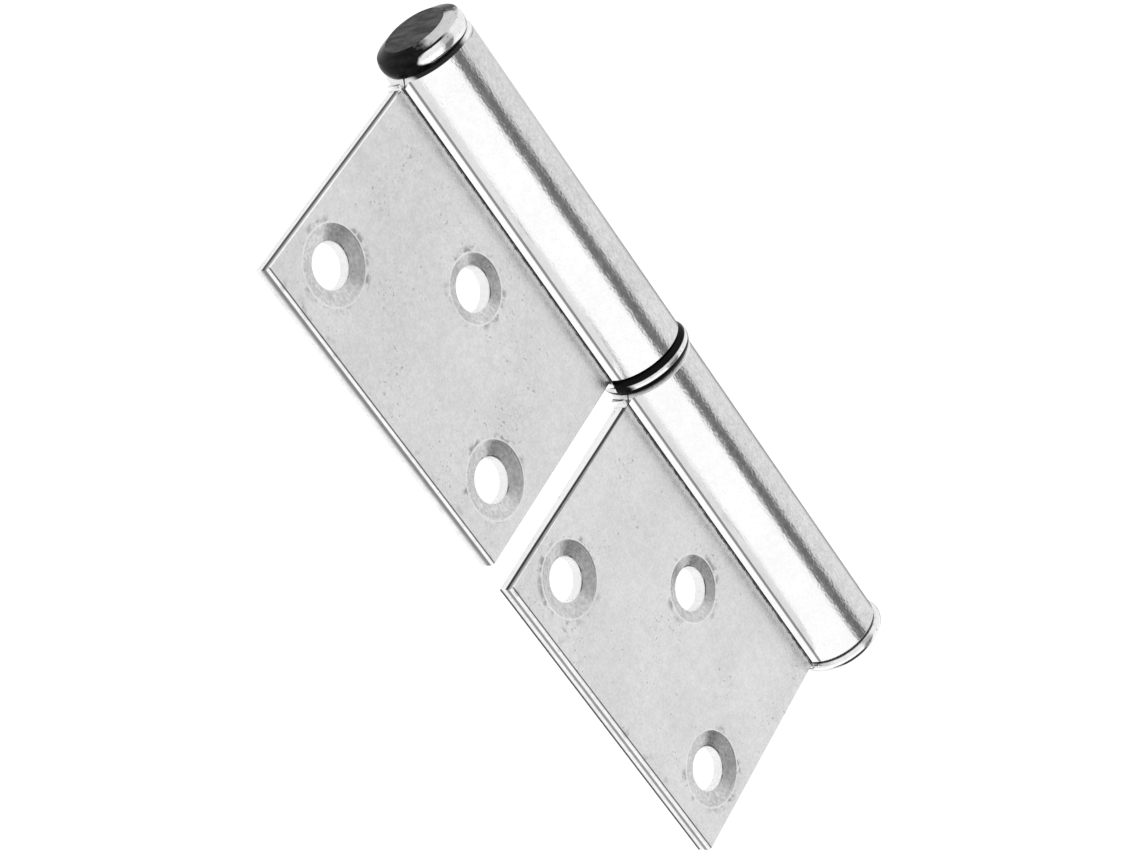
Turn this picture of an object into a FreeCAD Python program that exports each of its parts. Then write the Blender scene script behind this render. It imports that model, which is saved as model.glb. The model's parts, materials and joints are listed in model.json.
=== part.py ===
import FreeCAD, Part
import math
import os

# Lift-off hinge: two leaves of rolled sheet steel on one side of a fixed pin.
# The lower leaf holds the pin, a loose ring carries the load between the knuckles,
# and the upper leaf, closed at its top by a plug, lifts off the pin.
# Millimetres. +Z runs up the pin, -Y faces the countersunk side, and the leaves reach
# towards -X. The origin is midway between the two outer screw holes of the lower leaf,
# on its back face.

# Leaves
leaf_length = 50.0           # along the pin
leaf_reach = 40.0            # pin axis to free edge
sheet = 2.2                  # sheet thickness
front_setback = 0.1          # front face behind the pin axis
bend_radius = 3.3            # bend from the flat leaf into the roll, at mid-sheet
seam_gap = 0.1               # rolled end to the leaf's front face
roll_end_rise = 0.9          # straight end of the roll, above the leaf's front face
roll_end_spread = 0.5        # its foot beyond the knuckle's outside
relief_ring = 0.95           # leaf edge set back from the knuckle's end, beside the ring
relief_end = 0.6             # leaf edge set back from the knuckle's outer end
relief_round = 0.5           # inner corner of a relief
edge_round = 0.2             # front edge rolled over by the blanking punch
knuckle_chamfer = 0.4        # outer edge at each end of a knuckle

# Screw holes
screw_hole_d = 5.9
outer_rim_d = 10.2           # countersinks near the free edge
inner_rim_d = 9.1            # countersink near the knuckle
countersink_angle = 140.0    # included angle, degrees
screw_to_edge = 8.2          # outer holes from the free edge
screw_to_end = 6.8           # outer holes from the leaf's ends
inner_screw_reach = 16.2     # inner hole from the pin axis

# Pin, plug and ring
pin_d = 8.0
running_clearance = 0.05     # radial, pin in the upper knuckle and in the ring
press_clearance = 0.01       # radial, pin in the lower knuckle and plug in the upper one
pin_rise = 40.0              # pin above the ring
pin_tip_chamfer = 1.2
pin_head_shoulder_d = 12.8   # where the pin's head leaves the knuckle's end
pin_head_rim_d = 13.0        # lower edge of its barrel side
pin_head_rim = 1.25          # that edge, from the knuckle's end
pin_head_height = 2.3
pin_head_flat_d = 8.5
pin_head_round = 0.2         # how far its rounded sides stand off their chords
plug_depth = 6.0             # stem inside the upper knuckle
plug_stem_chamfer = 0.6
plug_head_base_d = 11.7
plug_head_rim_d = 11.9
plug_head_rim = 2.25         # upper edge of its barrel side, from the knuckle's end
plug_head_height = 3.05
plug_head_flat_d = 8.55
plug_head_round = 0.3        # how far its barrel side stands off its chord
ring_thickness = 2.4
ring_bulge = 0.45            # ring's crown beyond the knuckle's outside
ring_edge = 0.25             # ring's edges inside the knuckle's outside

# Heights along the pin, from the lower leaf's middle
lower_top = leaf_length / 2 + relief_ring
upper_base = lower_top + ring_thickness
knuckle_length = relief_ring + leaf_length + relief_end
lower_base = lower_top - knuckle_length
upper_top = upper_base + knuckle_length

# The pin axis, seen from the origin
pin_x = leaf_reach - screw_to_edge
pin_y = -(front_setback + sheet)

pin_r = pin_d / 2
running_bore_r = pin_r + running_clearance
press_bore_r = pin_r + press_clearance
knuckle_r = running_bore_r + sheet


def at(reach, front, z=0.0):
    """Point at a distance from the pin axis along the leaf and towards its front."""
    return FreeCAD.Vector(pin_x - reach, pin_y - front, z)


def polar(radius, angle, centre=(0.0, 0.0)):
    """Point on a circle in the section across the pin, angles from the leaf towards the front."""
    return at(centre[0] + radius * math.cos(angle), centre[1] + radius * math.sin(angle))


def arc(radius, start, end, centre=(0.0, 0.0)):
    ends = [polar(radius, angle, centre) for angle in (start, (start + end) / 2, end)]
    return Part.Arc(*ends).toShape()


def line(start, end):
    return Part.LineSegment(start, end).toShape()


def bend_centre(bore_r):
    """Centre of the bend behind the leaf, whose mid-sheet arc meets the roll's tangentially."""
    roll_r = bore_r + sheet / 2
    mid_setback = front_setback + sheet / 2
    reach = math.sqrt((bend_radius + roll_r) ** 2 - (bend_radius + mid_setback) ** 2)
    return reach, -(mid_setback + bend_radius)


def rolled_section(bore_r):
    """Section across the pin: flat leaf, bend, and a roll whose straight end stands on the leaf's front."""
    centre = bend_centre(bore_r)
    outer_r = bore_r + sheet
    front_r = bend_radius + sheet / 2
    back_r = bend_radius - sheet / 2
    join = math.atan2(centre[1], centre[0])
    end_level = seam_gap - front_setback
    inner_end = math.asin(end_level / bore_r) - 2 * math.pi
    outer_end = math.asin((roll_end_rise - front_setback) / outer_r) - 2 * math.pi
    foot = at(outer_r + roll_end_spread, end_level)
    front, back = -front_setback, -front_setback - sheet
    edges = [
        line(at(leaf_reach, front), at(centre[0], front)),
        arc(front_r, math.pi / 2, join + math.pi, centre),
        arc(bore_r, join, inner_end),
        line(polar(bore_r, inner_end), foot),
        line(foot, polar(outer_r, outer_end)),
        arc(outer_r, outer_end, join),
        arc(back_r, join + math.pi, math.pi / 2, centre),
        line(at(centre[0], back), at(leaf_reach, back)),
        line(at(leaf_reach, back), at(leaf_reach, front)),
    ]
    return Part.Face(Part.Wire(Part.__sortEdges__(edges)))


def rounded_outline(corners):
    """Closed outline through square corners, each given as a point and a radius."""
    edges = []
    starts, ends = [], []
    for i, (point, radius) in enumerate(corners):
        before = (corners[i - 1][0] - point).normalize()
        after = (corners[(i + 1) % len(corners)][0] - point).normalize()
        starts.append(point + before * radius)
        ends.append(point + after * radius)
        if radius:
            middle = point + (before + after) * (radius * (1 - math.sqrt(0.5)))
            edges.append(Part.Arc(starts[-1], middle, ends[-1]).toShape())
    for i in range(len(corners)):
        edges.append(line(ends[i - 1], starts[i]))
    return Part.Wire(Part.__sortEdges__(edges))


def blank(crease, outer_r, ring_level, way):
    """Slab with the outline of a leaf and its longer knuckle, seen from the front."""
    behind = -(front_setback + sheet + outer_r)

    def corner(reach, along, radius=0.0):
        return at(reach, behind, ring_level + way * along), radius

    far = knuckle_length - relief_end
    outline = rounded_outline([
        corner(-2 * outer_r, 0.0),
        corner(crease, 0.0),
        corner(crease, relief_ring, min(relief_round, relief_ring / 2)),
        corner(leaf_reach, relief_ring),
        corner(leaf_reach, far),
        corner(crease, far, min(relief_round, relief_end / 2)),
        corner(crease, knuckle_length),
        corner(-2 * outer_r, knuckle_length),
    ])
    return Part.Face(outline).extrude(FreeCAD.Vector(0, -3 * (outer_r + sheet), 0))


def countersunk_hole(reach, z, rim_d):
    """Straight hole through the leaf with a cone that opens to its front face."""
    front_point = at(reach, -front_setback, z)
    to_back = FreeCAD.Vector(0, 1, 0)
    hole_r, rim_r = screw_hole_d / 2, rim_d / 2
    slope = math.tan(math.radians(countersink_angle / 2))
    hole = Part.makeCylinder(hole_r, 3 * sheet, front_point - to_back * sheet, to_back)
    start = front_point - to_back * sheet
    cone_depth = (rim_r - hole_r) / slope + sheet
    cone = Part.makeCone(rim_r + sheet * slope, hole_r, cone_depth, start, to_back)
    return hole.fuse(cone)


def chamfer_ring(outer_r, end, inward):
    """Ring that takes the outer edge off a knuckle's end."""
    reach = relief_end + outer_r
    depth = knuckle_chamfer + relief_end
    corners = [
        at(outer_r - knuckle_chamfer, 0, end),
        at(reach, 0, end),
        at(reach, 0, end + inward * depth),
    ]
    section = Part.Face(Part.makePolygon(corners + corners[:1]))
    return section.revolve(at(0, 0), FreeCAD.Vector(0, 0, 1), 360)


def front_edges(solid, crease):
    """Edges of the leaf's front face that run round its outline, clear of the knuckle."""
    front_y = pin_y + front_setback
    limit = pin_x - crease
    found = []
    for edge in solid.Edges:
        box = edge.BoundBox
        flat = abs(box.YMin - front_y) < 1e-6 and abs(box.YMax - front_y) < 1e-6
        along_crease = abs(box.XMin - limit) < 1e-6 and abs(box.XMax - limit) < 1e-6
        if flat and not along_crease and box.XMax < limit + 1e-6:
            found.append(edge)
    return found


def make_leaf(bore_r, ring_level, way):
    """Leaf whose knuckle starts at the ring and grows up or down the pin."""
    crease = bend_centre(bore_r)[0]
    outer_r = bore_r + sheet
    edge_r = min(edge_round, sheet / 2)
    start = min(ring_level, ring_level + way * knuckle_length)
    strip = rolled_section(bore_r)
    strip.translate(FreeCAD.Vector(0, 0, start))
    leaf = strip.extrude(FreeCAD.Vector(0, 0, knuckle_length))
    leaf = leaf.common(blank(crease, outer_r, ring_level, way))
    leaf = leaf.Solids[0]
    leaf = leaf.makeFillet(edge_r, front_edges(leaf, crease))
    for end, inward in ((start, 1), (start + knuckle_length, -1)):
        leaf = leaf.cut(chamfer_ring(outer_r, end, inward))
    outer_reach = leaf_reach - screw_to_edge
    for along in (screw_to_end, leaf_length - screw_to_end):
        z = ring_level + way * (relief_ring + along)
        leaf = leaf.cut(countersunk_hole(outer_reach, z, outer_rim_d))
    middle = ring_level + way * (relief_ring + leaf_length / 2)
    leaf = leaf.cut(countersunk_hole(inner_screw_reach, middle, inner_rim_d))
    return leaf.Solids[0]


def turned(edges):
    """Solid of revolution about the pin axis from a closed half section."""
    face = Part.Face(Part.Wire(Part.__sortEdges__(edges)))
    return face.revolve(at(0, 0), FreeCAD.Vector(0, 0, 1), 360)


def chain(points):
    """Straight edges through a list of points."""
    return [line(a, b) for a, b in zip(points, points[1:])]


def rounded_side(start, end, round_height):
    """Arc between two points of a half section that stands off its chord, away from the axis."""
    chord = end - start
    outward = FreeCAD.Vector(-abs(chord.z), 0, chord.x * math.copysign(1, chord.z)).normalize()
    middle = (start + end) / 2 + outward * round_height
    return Part.Arc(start, middle, end).toShape()


def make_pin():
    """Pin with an upset head under the lower knuckle and a chamfered tip."""
    tip = upper_base + pin_rise
    foot = lower_base - pin_head_height
    shoulder = at(pin_head_shoulder_d / 2, 0, lower_base)
    rim = at(pin_head_rim_d / 2, 0, lower_base - pin_head_rim)
    flat_edge = at(pin_head_flat_d / 2, 0, foot)
    edges = chain([
        flat_edge,
        at(0, 0, foot),
        at(0, 0, tip),
        at(pin_r - pin_tip_chamfer, 0, tip),
        at(pin_r, 0, tip - pin_tip_chamfer),
        at(pin_r, 0, lower_base),
        shoulder,
    ])
    edges.append(rounded_side(shoulder, rim, pin_head_round))
    edges.append(rounded_side(rim, flat_edge, pin_head_round))
    return turned(edges)


def make_plug():
    """Plug with a button head: barrel side, rim, bevel and flat top."""
    stem_r = running_bore_r - press_clearance
    stem_end = upper_top - plug_depth
    top = upper_top + plug_head_height
    base = at(plug_head_base_d / 2, 0, upper_top)
    rim = at(plug_head_rim_d / 2, 0, upper_top + plug_head_rim)
    edges = chain([
        rim,
        at(plug_head_flat_d / 2, 0, top),
        at(0, 0, top),
        at(0, 0, stem_end),
        at(stem_r - plug_stem_chamfer, 0, stem_end),
        at(stem_r, 0, stem_end + plug_stem_chamfer),
        at(stem_r, 0, upper_top),
        base,
    ])
    edges.append(rounded_side(base, rim, plug_head_round))
    return turned(edges)


def make_ring():
    """Loose bearing ring with a crowned outside."""
    edge_r = knuckle_r - ring_edge
    bottom = at(edge_r, 0, lower_top)
    top = at(edge_r, 0, upper_base)
    edges = chain([top, at(running_bore_r, 0, upper_base), at(running_bore_r, 0, lower_top), bottom])
    edges.append(rounded_side(bottom, top, ring_edge + ring_bulge))
    return turned(edges)


nodes = {
    "lower_leaf": make_leaf(press_bore_r, lower_top, -1),
    "upper_leaf": make_leaf(running_bore_r, upper_base, 1),
    "hinge_pin": make_pin(),
    "top_plug": make_plug(),
    "bearing_ring": make_ring(),
}

os.makedirs("parts", exist_ok=True)
for name, shape in nodes.items():
    shape.exportStep("parts/" + name + ".step")
    print(name, round(shape.Volume, 1), "cubic mm")
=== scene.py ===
import json
import math
from types import SimpleNamespace

import bpy
from mathutils import Matrix, Vector


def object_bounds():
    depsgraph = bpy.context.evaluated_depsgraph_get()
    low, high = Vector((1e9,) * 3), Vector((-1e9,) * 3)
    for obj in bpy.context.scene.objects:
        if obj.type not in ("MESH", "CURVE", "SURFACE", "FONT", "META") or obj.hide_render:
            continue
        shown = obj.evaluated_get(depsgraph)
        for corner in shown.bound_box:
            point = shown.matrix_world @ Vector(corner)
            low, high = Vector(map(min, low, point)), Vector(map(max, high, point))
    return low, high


bl_info = {
    "name": "Lift-off hinge finish",
    "version": (1, 0, 0),
    "blender": (4, 5, 0),
    "location": "View3D > Sidebar > Hinge",
    "description": "Bright zinc finishes, studio and camera for a lift-off hinge of rolled sheet steel",
    "category": "Material",
}

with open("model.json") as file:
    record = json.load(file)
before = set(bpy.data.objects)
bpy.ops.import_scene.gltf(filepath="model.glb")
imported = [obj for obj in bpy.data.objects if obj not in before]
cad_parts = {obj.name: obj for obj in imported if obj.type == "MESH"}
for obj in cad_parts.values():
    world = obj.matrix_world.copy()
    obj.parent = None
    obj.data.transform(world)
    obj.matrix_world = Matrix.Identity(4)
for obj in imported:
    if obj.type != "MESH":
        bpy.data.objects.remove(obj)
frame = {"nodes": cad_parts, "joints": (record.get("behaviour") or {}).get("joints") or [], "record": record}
cad_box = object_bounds()

MM = 0.001
MOUNTS = {mount["name"]: mount for mount in frame["record"]["mounts"]}
PIN_AXIS = Vector(next(joint for joint in frame["joints"] if joint["name"] == "swing")["pos_m"])
LEAF_PITCH = MOUNTS["upper_screws"]["pos_m"][2]
OUTER_HOLE_Z = MOUNTS["lower_screws"]["dims"]["spacing_y_mm"] * MM / 2
INNER_HOLE_X = MOUNTS["lower_inner_screw"]["pos_m"][0]
HOLE_R = MOUNTS["lower_screws"]["dims"]["hole_r_mm"] * MM
FREE_EDGE_X = cad_box[0].x


class ZincSettings(bpy.types.PropertyGroup):
    """Bright zinc plate."""
    colour: bpy.props.FloatVectorProperty(
        name="Zinc", description="Plate seen straight on", subtype="COLOR", size=3, min=0, max=1,
        default=(0.76, 0.76, 0.765))
    roughness: bpy.props.FloatProperty(
        name="Leaf roughness", description="Blur of the reflections in the leaves", subtype="FACTOR",
        min=0, max=1, default=0.22)
    turned_roughness: bpy.props.FloatProperty(
        name="Turned roughness", description="Blur of the reflections in the pin and the plug",
        subtype="FACTOR", min=0, max=1, default=0.13)
    grain: bpy.props.FloatProperty(
        name="Grain", description="Size of the plate's finest lumps", unit="LENGTH", default=0.32 * MM)
    grain_height: bpy.props.FloatProperty(
        name="Grain height", description="Height of those lumps", unit="LENGTH", default=0.014 * MM)
    mottle: bpy.props.FloatProperty(
        name="Mottle", description="Size of the small cloudy patches", unit="LENGTH", default=1.2 * MM)
    blotch: bpy.props.FloatProperty(
        name="Blotch", description="Size of the large cloudy patches", unit="LENGTH", default=9 * MM)


class LeafSettings(bpy.types.PropertyGroup):
    """Places on a leaf that the press, the bending tool and the countersink have marked."""
    length: bpy.props.FloatProperty(
        name="Length", description="Leaf along the pin", unit="LENGTH", default=50 * MM)
    sheet: bpy.props.FloatProperty(
        name="Sheet", description="Thickness of the sheet", unit="LENGTH", default=2.2 * MM)
    seam_reach: bpy.props.FloatProperty(
        name="Seam", description="Foot of the rolled end from the pin axis", unit="LENGTH", default=6.75 * MM)
    foot_rise: bpy.props.FloatProperty(
        name="Foot", description="Straight end of the roll, in front of the pin axis", unit="LENGTH",
        default=0.8 * MM)
    knuckle_r: bpy.props.FloatProperty(
        name="Knuckle", description="Outside radius of the roll", unit="LENGTH", default=6.25 * MM)
    knuckle_start: bpy.props.FloatProperty(
        name="Knuckle start", description="Knuckle's end at the ring, from the ring's middle", unit="LENGTH",
        default=1.2 * MM)
    knuckle_end: bpy.props.FloatProperty(
        name="Knuckle end", description="Knuckle's outer end, from the ring's middle", unit="LENGTH",
        default=52.75 * MM)
    knuckle_chamfer: bpy.props.FloatProperty(
        name="Knuckle chamfer", description="Bevel at each end of a knuckle", unit="LENGTH", default=0.4 * MM)
    outer_rim: bpy.props.FloatProperty(
        name="Outer rims", description="Radius of the countersinks near the free edge", unit="LENGTH",
        default=5.1 * MM)
    inner_rim: bpy.props.FloatProperty(
        name="Inner rim", description="Radius of the countersink near the knuckle", unit="LENGTH",
        default=4.55 * MM)


class TurnedSettings(bpy.types.PropertyGroup):
    """Turned pieces on the pin axis."""
    plug_head: bpy.props.FloatProperty(
        name="Plug head", description="Height of the plug's head", unit="LENGTH", default=3.05 * MM)
    plug_rim: bpy.props.FloatProperty(
        name="Plug rim", description="Upper edge of the plug's barrel side", unit="LENGTH", default=2.25 * MM)


class StageSettings(bpy.types.PropertyGroup):
    """Camera, floor and surround."""
    aim: bpy.props.FloatVectorProperty(
        name="Aim", description="Point in the middle of the picture", subtype="XYZ", unit="LENGTH", size=3,
        default=(15.764 * MM, -0.951 * MM, 29.977 * MM))
    azimuth: bpy.props.FloatProperty(
        name="Azimuth", description="Camera's turn from the front towards +X", subtype="ANGLE",
        default=math.radians(-39.607))
    elevation: bpy.props.FloatProperty(
        name="Elevation", description="Camera's height above the level", subtype="ANGLE",
        default=math.radians(28.366))
    roll: bpy.props.FloatProperty(
        name="Roll", description="Camera's turn about its own line of sight", subtype="ANGLE",
        default=math.radians(-35.968))
    distance: bpy.props.FloatProperty(
        name="Distance", description="Camera to the aim", unit="LENGTH", default=419.015 * MM)
    lens: bpy.props.FloatProperty(
        name="Lens", description="Focal length in millimetres on a 36 mm wide picture", default=103.01)
    floor_drop: bpy.props.FloatProperty(
        name="Floor drop", description="Floor below the hinge", unit="LENGTH", default=80 * MM)
    floor_colour: bpy.props.FloatVectorProperty(
        name="Floor", description="Pale floor", subtype="COLOR", size=3, min=0, max=1,
        default=(0.8, 0.8, 0.8))
    surround: bpy.props.FloatProperty(
        name="Surround", description="Level of the pale room that the metal mirrors", min=0, default=0.9)


# Softbox, paper and dark flags of the room that the metal mirrors: azimuth from the front towards +X and
# elevation of the middle, half the width and half the height, soft edge, all in degrees, then the level.
ROOM = (
    ("paper", 40, -42, 60, 13, 12, 1.04),
    ("softbox", -79, -28, 71, 16, 3, 1.16),
    ("front flag", 10, -28, 16, 17, 3, 0.2),
    ("high front flag", 9, 15, 15, 26, 5, 0.5),
    ("lower flag", -40, -72, 70, 24, 4, 0.03),
    ("right strip", 124, -34, 18, 10, 4, 0.4),
    ("top light", 50, 43, 28, 16, 4, 1.16),
)

# Level directions in which the painted shade lies from the pin axis.
OVER_LEAF = (-0.93, 0.37)
TO_BACK = (0.37, 0.93)

# Grey levels of the marks: the bright bare ones and those of painted shade as they stand, the others as
# shares of the plate's.
BARE_AND_HIGHLIGHT_TONE = 1.3
SHADED_CHAMFER_TONE = 0.04
RING_SHADE_TONE = 0.008
HOLE_RIM_HIGHLIGHT_TONE = 1.1
SHRED_TONE = 0.3
EDGE_DARK_REFLECTION_TONE = 0.22
GRIME_TONE = 0.72
SEAM_SHADE_TONE = 0.3
FOOT_LINE_TONE = 0.3
LOWER_GAP_SHADE_TONE = 0.12
COLLAR_LINE_TONE = 0.4

# Roughness of the same places.
CONE_BLUR = 0.27
BORE_BLUR = 0.75
FREE_EDGE_BLUR = 0.4
SEAM_BLUR = 0.45
NOTCH_BLUR = 0.35
CHAMFER_BLUR = 0.5
SHADED_CHAMFER_BLUR = 0.3

# Bands on the sheet's edge faces, shear zones with painted highlight lines and painted dark reflection bands:
# place from the front face at 0 to the back at 1, and the value there.
LOWER_FREE_TONES = ((0.24, 1.2), (0.3, 0.4), (0.48, 0.42), (0.56, 1.2), (0.8, 1.2), (0.87, 0.1))
UPPER_FREE_TONES = ((0.18, 1.25), (0.25, 0.34), (0.44, 0.3), (0.66, 0.95), (0.8, 1.3))
END_TONES = ((0.1, 1.3), (0.15, 0.62), (0.29, 0.5), (0.34, 0.03), (0.52, 0.03), (0.59, 1.35))
END_BLURS = ((0.1, 0.15), (0.15, 0.5), (0.29, 0.5), (0.34, 0.15), (0.52, 0.15), (0.59, 0.22))

PAINTED_SHADE_SHINE = 0.05
FLOOR_SIZE = 6
FLOOR_ROUGHNESS = 0.9
FLOOR_GLOW = 0.3
NEAR_CLIP = 10 * MM


def add_node(tree, kind, inputs=None, **options):
    """New node with its options set, and its inputs set or linked."""
    node = tree.nodes.new(kind)
    for name, value in options.items():
        setattr(node, name, value)
    for name, value in (inputs or {}).items():
        if isinstance(value, bpy.types.NodeSocket):
            tree.links.new(value, node.inputs[name])
        else:
            node.inputs[name].default_value = value
    return node


def calc(tree, operation, *values):
    """Output of a math node over numbers and sockets."""
    return add_node(tree, "ShaderNodeMath", dict(enumerate(values)), operation=operation).outputs[0]


def product(tree, *values):
    """Product of several numbers and sockets."""
    total = values[0]
    for value in values[1:]:
        total = calc(tree, "MULTIPLY", total, value)
    return total


def largest(tree, *values):
    """Largest of several numbers and sockets."""
    most = values[0]
    for value in values[1:]:
        most = calc(tree, "MAXIMUM", most, value)
    return most


def away(tree, value, middle):
    """Distance of a value from a middle, to either side."""
    return calc(tree, "ABSOLUTE", calc(tree, "SUBTRACT", value, middle))


def fade(tree, value, start, end, low=0.0, high=1.0):
    """Smooth step from low to high while a value goes from start to end."""
    inputs = {"Value": value, "From Min": start, "From Max": end, "To Min": low, "To Max": high}
    return add_node(tree, "ShaderNodeMapRange", inputs, interpolation_type="SMOOTHSTEP").outputs[0]


def blend(tree, mask, low, high):
    """Value that goes from low to high with a mask."""
    return add_node(tree, "ShaderNodeMix", {0: mask, 2: low, 3: high}).outputs[0]


def split(tree, vector):
    """The three parts of a vector."""
    return add_node(tree, "ShaderNodeSeparateXYZ", {0: vector}).outputs


def reach(tree, a, b):
    """Length of a flat vector."""
    joined = add_node(tree, "ShaderNodeCombineXYZ", {0: a, 1: b}).outputs[0]
    return add_node(tree, "ShaderNodeVectorMath", {0: joined}, operation="LENGTH").outputs["Value"]


def stain(tree, tone, mask, share):
    """Tone that a mask brings to a share of itself."""
    return calc(tree, "MULTIPLY", tone, blend(tree, mask, 1.0, share))


def from_pin(tree, x, y):
    """The two level offsets from the pin axis."""
    return calc(tree, "SUBTRACT", x, PIN_AXIS.x), calc(tree, "SUBTRACT", y, PIN_AXIS.y)


def pin_offset(tree, x, y, direction):
    """Distance from the pin axis along a level direction."""
    across, back = from_pin(tree, x, y)
    return calc(
        tree, "ADD", calc(tree, "MULTIPLY", across, direction[0]),
        calc(tree, "MULTIPLY", back, direction[1]))


def levels(tree, value, stops):
    """Grey levels along a value from 0 to 1."""
    node = add_node(tree, "ShaderNodeValToRGB", {0: value})
    ramp = node.color_ramp
    while len(ramp.elements) < len(stops):
        ramp.elements.new(0.5)
    for element, (place, level) in zip(ramp.elements, stops):
        element.position = place
        element.color = (level, level, level, 1.0)
    return node.outputs[0]


def noise(tree, place, size, detail=2.0, stretch=(1.0, 1.0, 1.0)):
    """Cloudy noise with lumps of a given size, which may be longer along some axes."""
    scale = [1 / (size * longer) for longer in stretch]
    scaled = add_node(tree, "ShaderNodeMapping", {"Vector": place, "Scale": scale})
    return add_node(
        tree, "ShaderNodeTexNoise", {"Vector": scaled.outputs[0], "Scale": 1.0, "Detail": detail}).outputs[0]


def wander(tree, place, size, detail, spread):
    """Noise about zero that moves the edge of a mark to and fro."""
    return calc(tree, "MULTIPLY", calc(tree, "SUBTRACT", noise(tree, place, size, detail), 0.5), spread)


def start_metal(name):
    """Empty metal material: its tree, shader and object coordinates."""
    material = bpy.data.materials.new(name)
    material.use_nodes = True
    tree = material.node_tree
    shader = tree.nodes["Principled BSDF"]
    shader.inputs["Metallic"].default_value = 1.0
    place = add_node(tree, "ShaderNodeTexCoord").outputs["Object"]
    return material, tree, shader, place


def finish_metal(tree, shader, tone, roughness, height):
    """Zinc colour at a grey level, with its roughness and its relief in metres."""
    colour = bpy.context.scene.hinge_zinc.colour
    tinted = add_node(
        tree, "ShaderNodeMix", {0: 1.0, 6: (*colour, 1.0), 7: tone}, data_type="RGBA", blend_type="MULTIPLY")
    tree.links.new(tinted.outputs[2], shader.inputs["Base Color"])
    tree.links.new(roughness, shader.inputs["Roughness"])
    bump = add_node(tree, "ShaderNodeBump", {"Height": height, "Distance": 1.0, "Strength": 1.0})
    tree.links.new(bump.outputs[0], shader.inputs["Normal"])


def cloudy_plate(tree, place):
    """Grey level of the plate: large and small clouds, dark specks and fine crooked lines."""
    zinc = bpy.context.scene.hinge_zinc
    blotch = noise(tree, place, zinc.blotch, 3.0)
    mottle = noise(tree, place, zinc.mottle, 5.0)
    fine = noise(tree, place, zinc.grain * 1.2, 3.0)
    speck = noise(tree, place, zinc.mottle * 0.5, 2.0)
    crook = away(tree, noise(tree, place, zinc.mottle * 2.0, 5.0), 0.5)
    dirty = fade(tree, noise(tree, place, zinc.blotch * 0.8, 2.0), 0.48, 0.66)
    lines = blend(tree, dirty, 1.0, fade(tree, crook, 0.0, 0.014, 0.84, 1.0))
    specks = fade(tree, calc(tree, "ADD", speck, calc(tree, "MULTIPLY", dirty, 0.06)), 0.69, 0.77, 1.0, 0.66)
    clouds = product(
        tree, fade(tree, blotch, 0.3, 0.7, 0.95, 1.03), fade(tree, mottle, 0.28, 0.72, 0.93, 1.05),
        fade(tree, fine, 0.3, 0.7, 0.95, 1.04))
    return product(tree, clouds, lines, specks), mottle


def leaf_places(tree, place):
    """Where a point lies on its leaf, and the masks that several marks share."""
    leaf = bpy.context.scene.hinge_leaf
    x, y, z = split(tree, place)
    is_upper = calc(tree, "GREATER_THAN", z, PIN_AXIS.z)
    seam_x = PIN_AXIS.x - leaf.seam_reach
    return SimpleNamespace(
        place=place, x=x, y=y, is_upper=is_upper, seam_x=seam_x,
        along=away(tree, z, calc(tree, "MULTIPLY", is_upper, LEAF_PITCH)),
        from_ring=away(tree, z, PIN_AXIS.z),
        pin_reach=reach(tree, *from_pin(tree, x, y)),
        flat=fade(tree, x, seam_x + 0.02 * MM, seam_x - 0.06 * MM),
        face=fade(tree, y, -0.85 * leaf.sheet, -0.95 * leaf.sheet))


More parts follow.
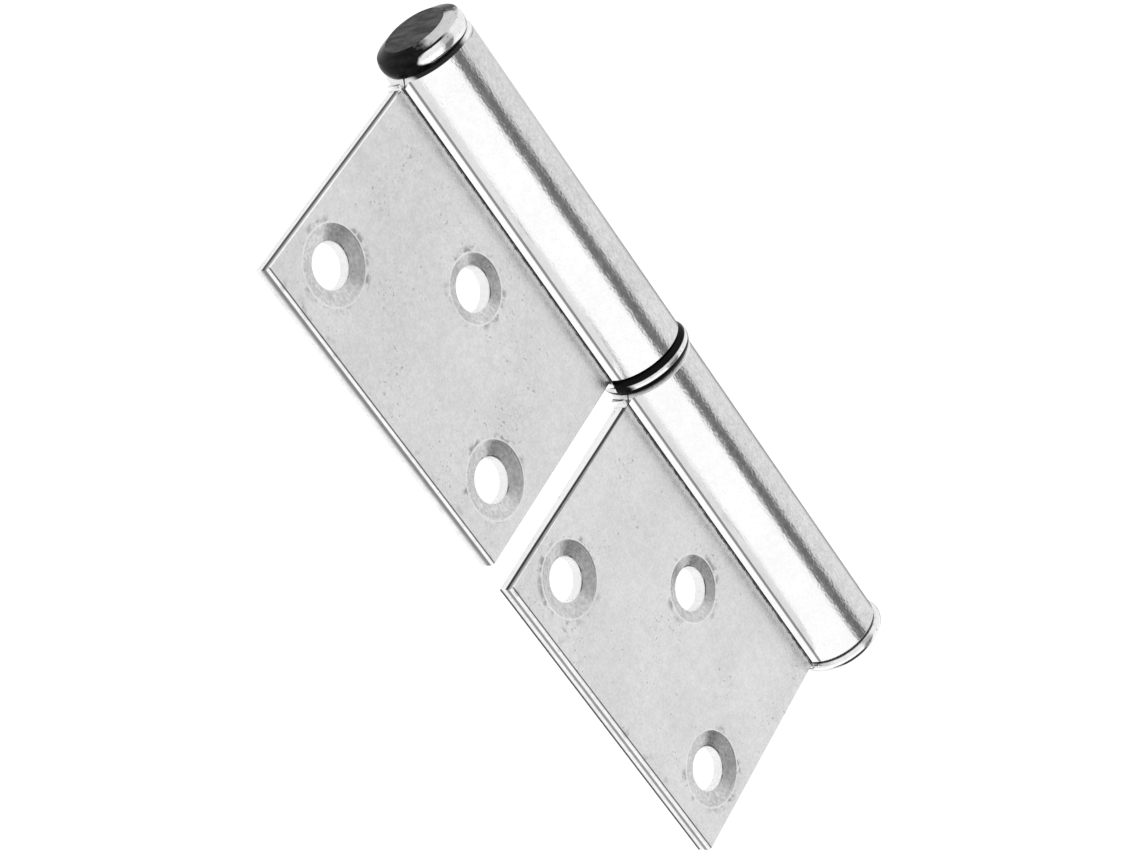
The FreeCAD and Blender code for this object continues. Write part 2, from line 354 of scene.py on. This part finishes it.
def mark_holes(tree, at, coat):
    """Turned cones with a painted highlight round the rim, torn collars, bare bores raised to a painted
    highlight, and shreds at the bores' edges.
    """
    leaf = bpy.context.scene.hinge_leaf
    rim_step = leaf.outer_rim - leaf.inner_rim
    outer = reach(tree, at.x, calc(tree, "SUBTRACT", at.along, OUTER_HOLE_Z))
    inner = reach(tree, calc(tree, "SUBTRACT", at.x, INNER_HOLE_X), at.along)
    radius = calc(tree, "MINIMUM", outer, calc(tree, "ADD", inner, rim_step))
    past_rim = calc(tree, "SUBTRACT", radius, leaf.outer_rim)
    front = fade(tree, at.y, -0.5 * leaf.sheet, -0.6 * leaf.sheet)
    cone = calc(tree, "MULTIPLY", front, fade(tree, past_rim, -0.02 * MM, -0.14 * MM))

    turns = noise(tree, add_node(tree, "ShaderNodeCombineXYZ", {0: radius}).outputs[0], 0.16 * MM, 2.0)
    torn = fade(tree, noise(tree, at.place, 0.5 * MM, 4.0), 0.3, 0.7, 0.82, 1.07)
    cut = product(tree, torn, fade(tree, turns, 0.3, 0.7, 0.92, 1.04))
    patchy = fade(tree, noise(tree, at.place, 3.4 * MM, 1.0), 0.45, 0.6)
    collar = product(
        tree, front, patchy, fade(tree, past_rim, 0.05 * MM, 0.3 * MM),
        fade(tree, past_rim, 1.2 * MM, 0.4 * MM))
    burr = fade(tree, noise(tree, at.place, 0.9 * MM, 6.0), 0.42, 0.6, 1.0, 0.5)
    # Painted highlight: a bright ring round the countersink's rim.
    lip = product(
        tree, front, fade(tree, past_rim, -0.1 * MM, 0.0), fade(tree, past_rim, 0.25 * MM, 0.1 * MM))
    for mask, share in ((cone, cut), (collar, burr), (lip, HOLE_RIM_HIGHLIGHT_TONE)):
        coat.tone = stain(tree, coat.tone, mask, share)
    coat.roughness = blend(tree, cone, coat.roughness, CONE_BLUR)
    coat.height = calc(tree, "ADD", coat.height, product(tree, cone, turns, 0.012 * MM))

    at_inner = calc(tree, "GREATER_THAN", at.x, 0.6 * INNER_HOLE_X)
    from_axis = calc(tree, "SUBTRACT", radius, blend(tree, at_inner, 0.0, rim_step))
    # Bare bore walls, raised to a painted highlight.
    bore = calc(tree, "MULTIPLY", at.flat, fade(tree, from_axis, HOLE_R + 0.08 * MM, HOLE_R + 0.03 * MM))
    coat.tone = blend(tree, bore, coat.tone, BARE_AND_HIGHLIGHT_TONE)
    coat.roughness = blend(tree, bore, coat.roughness, BORE_BLUR)
    from_centre = calc(tree, "SUBTRACT", at.x, blend(tree, at_inner, 0.0, INNER_HOLE_X))
    shreds = product(
        tree, cone, fade(tree, away(tree, from_axis, HOLE_R + 0.16 * MM), 0.1 * MM, 0.05 * MM),
        fade(tree, from_centre, 0.3 * MM, 1.2 * MM),
        fade(tree, noise(tree, at.place, 1.3 * MM, 3.0), 0.48, 0.58))
    coat.tone = stain(tree, coat.tone, shreds, SHRED_TONE)


def mark_edges(tree, at, coat):
    """Bands and torn steel on the sheet's edge faces, with painted highlights and dark reflections, a painted
    dark reflection line and grime along the free edge.
    """
    leaf = bpy.context.scene.hinge_leaf
    end = leaf.length / 2
    depth = calc(tree, "ADD", calc(tree, "DIVIDE", at.y, leaf.sheet), 1.0)
    free_face = calc(
        tree, "MULTIPLY", at.flat, fade(tree, at.x, FREE_EDGE_X + 0.1 * MM, FREE_EDGE_X + 0.03 * MM))
    end_face = product(
        tree, at.flat, fade(tree, at.along, end - 0.1 * MM, end - 0.03 * MM),
        fade(tree, at.along, end + 0.06 * MM, end + 0.03 * MM))
    free_tone = blend(
        tree, at.is_upper, levels(tree, depth, LOWER_FREE_TONES), levels(tree, depth, UPPER_FREE_TONES))
    slant = fade(tree, at.x, FREE_EDGE_X, at.seam_x, 0.0, 0.24)
    end_depth = calc(tree, "ADD", depth, blend(tree, at.is_upper, slant, 0.0))
    coat.tone = stain(tree, coat.tone, free_face, free_tone)
    coat.tone = stain(tree, coat.tone, end_face, levels(tree, end_depth, END_TONES))
    coat.roughness = blend(tree, free_face, coat.roughness, FREE_EDGE_BLUR)
    coat.roughness = blend(tree, end_face, coat.roughness, levels(tree, end_depth, END_BLURS))
    torn = product(
        tree, calc(tree, "MAXIMUM", free_face, end_face), fade(tree, depth, 0.66, 0.75),
        noise(tree, at.place, 0.14 * MM, 2.0), 0.06 * MM)
    coat.height = calc(tree, "ADD", coat.height, torn)

    # Painted dark reflection: a thin dark line on the front face along the free edge's rounding.
    from_dark_reflection = away(tree, at.x, FREE_EDGE_X + 0.26 * MM)
    edge_dark_reflection = calc(tree, "MULTIPLY", at.face, fade(tree, from_dark_reflection, 0.12 * MM, 0.05 * MM))
    coat.tone = stain(tree, coat.tone, edge_dark_reflection, EDGE_DARK_REFLECTION_TONE)
    grime = product(
        tree, at.face, fade(tree, at.x, FREE_EDGE_X + 2.4 * MM, FREE_EDGE_X + 0.4 * MM),
        fade(tree, noise(tree, at.place, 2.2 * MM, 6.0), 0.54, 0.68))
    coat.tone = stain(tree, coat.tone, grime, GRIME_TONE)


def mark_seam(tree, at, coat):
    """Painted ragged shade in the crease where the roll's foot meets the leaf, and the line along the roll's
    straight end.
    """
    leaf = bpy.context.scene.hinge_leaf
    # Painted shade in the crease at the roll's foot.
    ragged = wander(tree, at.place, 0.7 * MM, 4.0, 0.55 * MM)
    from_seam = away(tree, calc(tree, "ADD", at.x, ragged), at.seam_x - 0.16 * MM)
    seam_shade = product(
        tree, at.flat, at.face, fade(tree, from_seam, 0.27 * MM, 0.13 * MM),
        fade(tree, noise(tree, at.place, 1.4 * MM, 2.0), 0.42, 0.55, 0.35, 1.0))
    coat.tone = stain(tree, coat.tone, seam_shade, SEAM_SHADE_TONE)
    coat.roughness = blend(tree, seam_shade, coat.roughness, SEAM_BLUR)
    foot_line = product(
        tree, fade(tree, away(tree, at.y, PIN_AXIS.y - leaf.foot_rise), 0.22 * MM, 0.12 * MM),
        fade(tree, at.x, PIN_AXIS.x - 0.8 * leaf.knuckle_r, PIN_AXIS.x - 0.9 * leaf.knuckle_r))
    coat.tone = stain(tree, coat.tone, foot_line, FOOT_LINE_TONE)


def mark_knuckle(tree, at, coat):
    """Bare notch walls; chamfers at the knuckles' ends, bare steel raised to a painted highlight or darkened
    with painted shade; and the lines next to them, one of them painted shade in the gap by the pin head.
    """
    leaf = bpy.context.scene.hinge_leaf
    end = leaf.length / 2
    notch = calc(
        tree, "MULTIPLY", fade(tree, at.along, end + 0.05 * MM, end + 0.15 * MM),
        fade(tree, at.pin_reach, leaf.knuckle_r + 0.1 * MM, leaf.knuckle_r + 0.2 * MM))
    coat.tone = blend(tree, notch, coat.tone, BARE_AND_HIGHLIGHT_TONE)
    coat.roughness = blend(tree, notch, coat.roughness, NOTCH_BLUR)

    wide, narrow = 1.1 * leaf.knuckle_chamfer, 0.95 * leaf.knuckle_chamfer
    at_ring = fade(tree, at.from_ring, leaf.knuckle_start + wide, leaf.knuckle_start + narrow)
    at_end = fade(tree, at.from_ring, leaf.knuckle_end - wide, leaf.knuckle_end - narrow)
    chamfers = product(
        tree, calc(tree, "MAXIMUM", at_ring, at_end),
        fade(tree, at.pin_reach, leaf.knuckle_r - 1.3 * leaf.knuckle_chamfer, leaf.knuckle_r - wide),
        fade(tree, at.pin_reach, leaf.knuckle_r + 0.2 * MM, leaf.knuckle_r + 0.1 * MM))
    # Painted shade on the upper knuckle's chamfers: all round at the ring, and under the plug at the outer
    # end; the other chamfers are bare steel raised to a painted highlight.
    over_leaf = pin_offset(tree, at.x, at.y, OVER_LEAF)
    under_plug = calc(
        tree, "MULTIPLY", fade(tree, over_leaf, 5.3 * MM, 4.6 * MM),
        fade(tree, over_leaf, -3.4 * MM, -1.6 * MM))
    chamfer_shade = calc(tree, "MULTIPLY", at.is_upper, blend(tree, at_end, 1.0, under_plug))
    coat.tone = blend(tree, chamfers, coat.tone, blend(tree, chamfer_shade, BARE_AND_HIGHLIGHT_TONE, SHADED_CHAMFER_TONE))
    coat.roughness = blend(
        tree, chamfers, coat.roughness, blend(tree, chamfer_shade, CHAMFER_BLUR, SHADED_CHAMFER_BLUR))

    # Painted shade in the gap between the lower knuckle's outer end and the pin head.
    lower_gap_shade = calc(
        tree, "MULTIPLY", calc(tree, "SUBTRACT", 1.0, at.is_upper),
        fade(tree, at.from_ring, leaf.knuckle_end - 0.22 * MM, leaf.knuckle_end - 0.14 * MM))
    coat.tone = stain(tree, coat.tone, lower_gap_shade, LOWER_GAP_SHADE_TONE)
    from_collar = away(tree, at.from_ring, leaf.knuckle_end - 0.7 * MM)
    collar_line = product(
        tree, fade(tree, from_collar, 0.12 * MM, 0.06 * MM), at.is_upper,
        fade(tree, at.x, PIN_AXIS.x + 0.1 * leaf.knuckle_r, PIN_AXIS.x + 0.4 * leaf.knuckle_r))
    coat.tone = stain(tree, coat.tone, collar_line, COLLAR_LINE_TONE)


def leaf_zinc():
    """Cloudy bright zinc on rolled sheet, with a painted highlight on the front of the roll, and its marks.
    """
    zinc = bpy.context.scene.hinge_zinc
    material, tree, shader, place = start_metal("leaf_zinc_plate")
    at = leaf_places(tree, place)
    grain = noise(tree, place, zinc.grain, 2.0)
    streak = noise(tree, place, zinc.grain, 3.0, (1.0, 1.0, 1.6))
    plate, mottle = cloudy_plate(tree, place)
    # Painted highlight: a lighter tone, with lower streaks, on the front of the roll.
    roll_highlight = calc(
        tree, "MULTIPLY", calc(tree, "SUBTRACT", 1.0, at.flat),
        fade(tree, at.x, PIN_AXIS.x - 1.4 * MM, PIN_AXIS.x - 3.2 * MM))
    rolled = fade(tree, streak, 0.3, 0.7, 0.88, 1.04)
    tone = calc(tree, "MULTIPLY", plate, blend(tree, at.flat, rolled, 1.0))
    roughness = fade(tree, mottle, 0.25, 0.75, zinc.roughness * 0.85, zinc.roughness * 1.2)
    lumps = blend(tree, at.flat, calc(tree, "MULTIPLY", streak, blend(tree, roll_highlight, 2.7, 1.8)), grain)
    coat = SimpleNamespace(
        tone=blend(tree, roll_highlight, tone, fade(tree, plate, 0.8, 1.1, 1.08, 1.18)),
        roughness=calc(tree, "MULTIPLY", roughness, blend(tree, at.flat, 0.75, 1.0)),
        height=calc(tree, "MULTIPLY", lumps, zinc.grain_height))
    for add_marks in (mark_holes, mark_edges, mark_seam, mark_knuckle):
        add_marks(tree, at, coat)
    finish_metal(tree, shader, coat.tone, coat.roughness, coat.height)
    return material


def turned_zinc(name, painted_shade, wear=0.3):
    """Bright zinc on turned steel: rings round the pin axis, nicks, and painted dark shade and reflection
    where a function says.
    """
    zinc = bpy.context.scene.hinge_zinc
    material, tree, shader, place = start_metal(name)
    x, y, z = split(tree, place)
    radius = reach(tree, *from_pin(tree, x, y))
    section = add_node(tree, "ShaderNodeCombineXYZ", {0: radius, 1: z}).outputs[0]
    turns = noise(tree, section, 0.22 * MM, 3.0)
    mottle = noise(tree, place, zinc.mottle, 4.0)
    nick = noise(tree, place, 0.5 * MM, 3.0)
    tone = product(
        tree, fade(tree, mottle, 0.3, 0.7, 1.2, 1.32), fade(tree, turns, 0.3, 0.7, 0.93, 1.0),
        fade(tree, nick, 0.62, 0.7, 1.0, 0.6))
    blur = zinc.turned_roughness
    roughness = fade(tree, mottle, 0.25, 0.75, blur * 0.8, blur * 1.25)
    grain = noise(tree, place, zinc.grain, 2.0)
    height = calc(tree, "MULTIPLY", calc(tree, "ADD", grain, turns), zinc.grain_height * wear)
    if painted_shade:
        # Painted shade: a dark, non-metallic colour where the function's mask lies.
        mask, level = painted_shade(tree, x, y, z)
        tone = blend(tree, mask, tone, level)
        tree.links.new(calc(tree, "SUBTRACT", 1.0, mask), shader.inputs["Metallic"])
        shader.inputs["Specular IOR Level"].default_value = PAINTED_SHADE_SHINE
    finish_metal(tree, shader, tone, roughness, height)
    return material


def plug_painted_shade(tree, x, y, z):
    """Mask and grey level of the painted dark reflection on the plug's flat, bevel, side over the leaf, and
    the painted shadow at the foot of its barrel.
    """
    turned = bpy.context.scene.hinge_turned
    top, seat = cad_box[1].z, cad_box[1].z - turned.plug_head
    rim = seat + turned.plug_rim
    place = add_node(tree, "ShaderNodeCombineXYZ", {0: x, 1: y, 2: z}).outputs[0]
    smear = wander(tree, place, 0.9 * MM, 5.0, 3.0 * MM)
    over_leaf = pin_offset(tree, x, y, OVER_LEAF)
    to_back = pin_offset(tree, x, y, TO_BACK)
    flat = fade(tree, z, top - 0.04 * MM, top - 0.02 * MM)
    thinned = fade(tree, over_leaf, -0.8 * MM, -3.4 * MM, 0.0, 0.24 * MM)
    foot = fade(tree, calc(tree, "ADD", z, thinned), seat + 0.6 * MM, seat + 0.45 * MM)
    on_bevel = fade(tree, z, rim - 0.02 * MM, rim + 0.03 * MM)

    # Painted dark reflection on the barrel's side leaves a bright spot for the highlight, which ends in a
    # round tip towards the leaf.
    off_middle = calc(tree, "DIVIDE", calc(tree, "SUBTRACT", z, seat + 1.4 * MM), 0.85 * MM)
    tip = calc(tree, "ADD", over_leaf, product(tree, off_middle, off_middle, 1.3 * MM))
    side = calc(
        tree, "MULTIPLY", calc(tree, "SUBTRACT", 1.0, on_bevel),
        fade(tree, calc(tree, "ADD", tip, calc(tree, "MULTIPLY", smear, 0.3)), 3.3 * MM, 4.0 * MM))
    bevel = calc(tree, "MULTIPLY", on_bevel, calc(
        tree, "MAXIMUM", fade(tree, calc(tree, "ADD", over_leaf, smear), -0.4 * MM, 2.6 * MM),
        fade(tree, calc(tree, "ADD", to_back, smear), -3.6 * MM, -1.6 * MM)))
    line = product(
        tree, fade(tree, away(tree, z, rim), 0.14 * MM, 0.08 * MM), fade(tree, over_leaf, -2.0 * MM, 0.0))
    mask = largest(tree, flat, foot, side, bevel, line, calc(tree, "MULTIPLY", on_bevel, 0.3))
    rubs = noise(tree, place, 0.7 * MM, 5.0, (1.0, 3.0, 1.0))
    level = blend(
        tree, flat, fade(tree, rubs, 0.3, 0.7, 0.003, 0.016), fade(tree, rubs, 0.3, 0.7, 0.015, 0.09))
    return mask, level


def ring_shade(tree, x, y, z):
    """Mask and grey level of the painted shade and dark reflection on the ring's shoulders and on its side
    next to the leaves' front.
    """
    shoulders = fade(tree, away(tree, z, PIN_AXIS.z + 0.2 * MM), 0.26 * MM, 0.38 * MM)
    side = calc(
        tree, "MULTIPLY", fade(tree, x, PIN_AXIS.x - 6.2 * MM, PIN_AXIS.x - 6.5 * MM),
        fade(tree, y, PIN_AXIS.y + 0.8 * MM, PIN_AXIS.y + 0.6 * MM))
    return calc(tree, "MAXIMUM", shoulders, side), RING_SHADE_TONE


def assign(node, material):
    """Gives a CAD node its finish."""
    mesh = frame["nodes"][node].data
    mesh.materials.clear()
    mesh.materials.append(material)


class HINGE_OT_finish_leaves(bpy.types.Operator):
    """Plate both leaves with bright zinc"""
    bl_idname = "hinge.finish_leaves"
    bl_label = "Finish leaves"

    def execute(self, context):
        material = leaf_zinc()
        for node in ("lower_leaf", "upper_leaf"):
            assign(node, material)
        return {"FINISHED"}


class HINGE_OT_finish_pin(bpy.types.Operator):
    """Plate the pin and the plug"""
    bl_idname = "hinge.finish_pin"
    bl_label = "Finish pin and plug"

    def execute(self, context):
        assign("hinge_pin", turned_zinc("pin_zinc_plate", None))
        assign("top_plug", turned_zinc("plug_zinc_plate", plug_painted_shade, wear=1.2))
        return {"FINISHED"}


class HINGE_OT_finish_ring(bpy.types.Operator):
    """Polish the bearing ring and paint shade on its shoulders and on its side next to the leaves"""
    bl_idname = "hinge.finish_ring"
    bl_label = "Finish ring"

    def execute(self, context):
        assign("bearing_ring", turned_zinc("polished_ring", ring_shade))
        return {"FINISHED"}


def compass(azimuth, elevation):
    """Unit vector towards an azimuth, counted from the front towards +X, and an elevation."""
    level = math.cos(elevation)
    return Vector((math.sin(azimuth) * level, -math.cos(azimuth) * level, math.sin(elevation)))


def add_camera(stage):
    """Camera at the photograph's viewing angle."""
    towards = compass(stage.azimuth, stage.elevation)
    bpy.ops.object.camera_add(location=Vector(stage.aim) + towards * stage.distance)
    camera = bpy.context.object
    camera.matrix_world = (
        Matrix.Translation(camera.location)
        @ towards.to_track_quat("Z", "Y").to_matrix().to_4x4()
        @ Matrix.Rotation(stage.roll, 4, "Z"))
    camera.data.lens = stage.lens
    camera.data.clip_start = NEAR_CLIP
    bpy.context.scene.camera = camera


def add_floor(stage):
    """Wide pale floor that shows a little lighter to the eye."""
    height = cad_box[0].z - stage.floor_drop
    bpy.ops.mesh.primitive_plane_add(size=FLOOR_SIZE, location=(stage.aim[0], stage.aim[1], height))
    floor = bpy.context.object
    floor.name = "floor"
    material = bpy.data.materials.new("pale_floor")
    material.use_nodes = True
    tree = material.node_tree
    shader = tree.nodes["Principled BSDF"]
    shader.inputs["Base Color"].default_value = (*stage.floor_colour, 1.0)
    shader.inputs["Roughness"].default_value = FLOOR_ROUGHNESS
    shader.inputs["Specular IOR Level"].default_value = 0.0
    shader.inputs["Emission Color"].default_value = (1.0, 1.0, 1.0, 1.0)
    seen = add_node(tree, "ShaderNodeLightPath").outputs["Is Camera Ray"]
    tree.links.new(calc(tree, "MULTIPLY", seen, FLOOR_GLOW), shader.inputs["Emission Strength"])
    floor.data.materials.append(material)
    floor.visible_glossy = False


def room_level(tree, surround):
    """Grey level of the room in every direction."""
    x, y, z = split(tree, add_node(tree, "ShaderNodeTexCoord").outputs["Generated"])
    azimuth = calc(tree, "ARCTAN2", x, calc(tree, "MULTIPLY", y, -1.0))
    elevation = calc(tree, "ARCSINE", z)
    level = surround
    for _, *angles, tone in ROOM:
        middle, height, half_width, half_height, soft = [math.radians(angle) for angle in angles]
        turn = calc(tree, "WRAP", calc(tree, "SUBTRACT", azimuth, middle), math.pi, -math.pi)
        rise = calc(tree, "SUBTRACT", elevation, height)
        sides = [
            fade(tree, calc(tree, "ABSOLUTE", offset), half + soft, half - soft)
            for offset, half in ((turn, half_width), (rise, half_height))]
        level = blend(tree, product(tree, *sides), level, tone)
    return level


def light_world(stage):
    """White to the eye and to the floor, and a room with a softbox and flags to the metal."""
    world = bpy.data.worlds.new("studio")
    bpy.context.scene.world = world
    world.use_nodes = True
    tree = world.node_tree
    glossy = add_node(tree, "ShaderNodeLightPath").outputs["Is Glossy Ray"]
    level = blend(tree, glossy, 1.0, room_level(tree, stage.surround))
    tree.links.new(level, tree.nodes["Background"].inputs["Color"])


class HINGE_OT_set_stage(bpy.types.Operator):
    """Set up the floor, the light and the camera"""
    bl_idname = "hinge.set_stage"
    bl_label = "Set stage"

    def execute(self, context):
        stage = context.scene.hinge_stage
        bpy.ops.object.select_all(action="DESELECT")
        add_floor(stage)
        light_world(stage)
        add_camera(stage)
        context.scene.view_settings.view_transform = "Standard"
        return {"FINISHED"}


class HINGE_PT_panel(bpy.types.Panel):
    """Lists the steps of the hinge's finish"""
    bl_idname = "HINGE_PT_panel"
    bl_label = "Lift-off hinge"
    bl_space_type = "VIEW_3D"
    bl_region_type = "UI"
    bl_category = "Hinge"

    def draw(self, context):
        for step in STEPS:
            self.layout.operator(step.bl_idname)


SETTINGS = {
    "hinge_zinc": ZincSettings,
    "hinge_leaf": LeafSettings,
    "hinge_turned": TurnedSettings,
    "hinge_stage": StageSettings,
}
STEPS = (HINGE_OT_finish_leaves, HINGE_OT_finish_pin, HINGE_OT_finish_ring, HINGE_OT_set_stage)
CLASSES = (*SETTINGS.values(), *STEPS, HINGE_PT_panel)


def register():
    for item in CLASSES:
        bpy.utils.register_class(item)
    for name, group in SETTINGS.items():
        setattr(bpy.types.Scene, name, bpy.props.PointerProperty(type=group))


def unregister():
    for name in SETTINGS:
        delattr(bpy.types.Scene, name)
    for item in reversed(CLASSES):
        bpy.utils.unregister_class(item)


def main():
    register()
    bpy.ops.hinge.finish_leaves()
    bpy.ops.hinge.finish_pin()
    bpy.ops.hinge.finish_ring()
    bpy.ops.hinge.set_stage()


if __name__ == "__main__":
    main()
